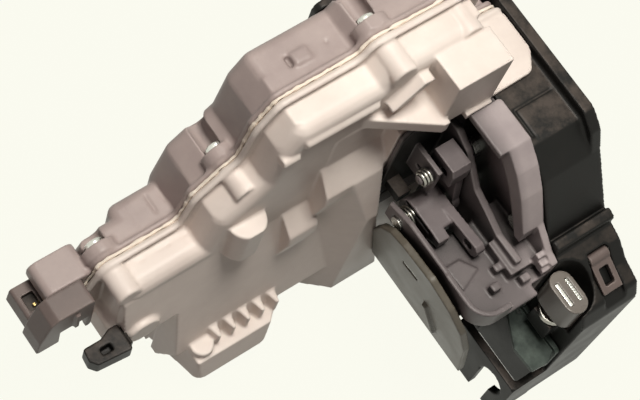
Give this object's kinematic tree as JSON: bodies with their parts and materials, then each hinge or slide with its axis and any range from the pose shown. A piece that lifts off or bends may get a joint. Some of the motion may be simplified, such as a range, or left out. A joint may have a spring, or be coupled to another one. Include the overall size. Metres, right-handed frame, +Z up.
{
  "type": "car door lock",
  "caption": "Car door lock: a claw latch in a black frame with release levers and key cam, joined to a two-shell electric locking actuator with a plug socket.",
  "frame": {"origin": "middle of the face plate's two bolt holes, on the plate's outer face", "axes": "+X out of the face plate toward the door's end face, +Y toward the back of the casing, +Z up, so that the striker enters from below"},
  "size_m": [0.1783, 0.119, 0.1499],
  "materials": {
    "grey_plastic": "moulded grey plastic",
    "cream_plastic": "moulded cream plastic",
    "shade_plastic": "moulded beige plastic",
    "black_plastic": "moulded black plastic",
    "brown_plastic": "moulded dark plastic",
    "white_plastic": "natural nylon",
    "seal_rubber": "light foam seal",
    "black_rubber": "soft rubber",
    "plated_steel": "passivated steel",
    "zinc_steel": "bright zinc plated steel",
    "lever_steel": "coated steel",
    "brass": "tinned brass"
  },
  "bodies": {
    "frame": {"actuator_housing": "grey_plastic", "actuator_cover": "cream_plastic", "case_seal": "seal_rubber", "case_screws": "zinc_steel", "lever_housing": "grey_plastic", "lever_cover": "shade_plastic", "latch_frame": "black_plastic", "face_plate": "plated_steel", "back_plate": "plated_steel", "claw_pin": "zinc_steel", "claw_spring": "zinc_steel", "striker_buffer": "black_rubber", "pawl_pin": "zinc_steel", "pawl_spring": "zinc_steel", "lever_pin": "zinc_steel", "lever_spring": "zinc_steel", "override_spring": "zinc_steel", "spring_post": "zinc_steel", "key_cam_spring": "zinc_steel", "clip_pin": "zinc_steel", "motor": "zinc_steel", "wheel_axle": "zinc_steel", "microswitches": "black_plastic", "terminal_carrier": "brown_plastic", "connector_housing": "brown_plastic", "connector_pins": "brass", "wire_clip": "black_plastic", "frame_screws": "zinc_steel", "bracket_screws": "zinc_steel"},
    "claw": {"claw": "plated_steel", "claw_jacket": "black_plastic"},
    "pawl": {"pawl": "plated_steel"},
    "outside_lever": {"outside_release_lever": "lever_steel"},
    "inside_lever": {"inside_release_lever": "lever_steel"},
    "key_cam": {"key_cam": "brown_plastic"},
    "cable_clip": {"cable_clip": "brown_plastic"},
    "worm_wheel": {"worm_wheel": "white_plastic"},
    "motor_shaft": {"worm": "white_plastic"},
    "lock_slider": {"lock_slider": "white_plastic"}
  },
  "joints": [
    {"name": "claw_turn", "type": "hinge", "parent": "frame", "child": "claw", "pos_m": [-0.011, 0.014, -0.028], "axis": [-1, 0, 0], "range_deg": [0, 50], "stiffness_Nm_per_rad": 0.1},
    {"name": "outside_release", "type": "hinge", "parent": "frame", "child": "outside_lever", "pos_m": [-0.048, 0.012, 0.01], "axis": [-1, 0, 0], "range_deg": [0, 14], "stiffness_Nm_per_rad": 0.3},
    {"name": "pawl_lift", "type": "hinge", "parent": "frame", "child": "pawl", "pos_m": [-0.011, -0.026, -0.018], "axis": [1, 0, 0], "range_deg": [0, 15]},
    {"name": "inside_release", "type": "hinge", "parent": "frame", "child": "inside_lever", "pos_m": [-0.039, 0.012, 0.01], "axis": [1, 0, 0], "range_deg": [0, 15], "stiffness_Nm_per_rad": 0.2},
    {"name": "key_turn", "type": "hinge", "parent": "frame", "child": "key_cam", "pos_m": [-0.024, -0.037, 0.003], "axis": [0, 0, 1], "range_deg": [-45, 45], "stiffness_Nm_per_rad": 0.05},
    {"name": "clip_swing", "type": "hinge", "parent": "frame", "child": "cable_clip", "pos_m": [-0.0096, -0.0325, 0.013], "axis": [-1, 0, 0], "range_deg": [0, 90]},
    {"name": "wheel_turn", "type": "hinge", "parent": "frame", "child": "worm_wheel", "pos_m": [-0.0545, 0.049, 0.0412], "axis": [0, -1, 0], "range_deg": [0, 60]},
    {"name": "worm_turn", "type": "hinge", "parent": "frame", "child": "motor_shaft", "pos_m": [-0.055, 0.049, 0.0611], "axis": [1, 0, 0], "range_deg": [0, 721]},
    {"name": "lock_slide", "type": "slide", "parent": "frame", "child": "lock_slider", "axis": [0, 0, -1], "range_m": [0, 0.0084]}
  ],
  "couplings": [
    {"joint": "pawl_lift", "follows": "outside_release", "ratio": 1.07},
    {"joint": "worm_turn", "follows": "wheel_turn", "ratio": 12},
    {"joint": "lock_slide", "follows": "wheel_turn", "m_per_rad": 0.008}
  ]
}
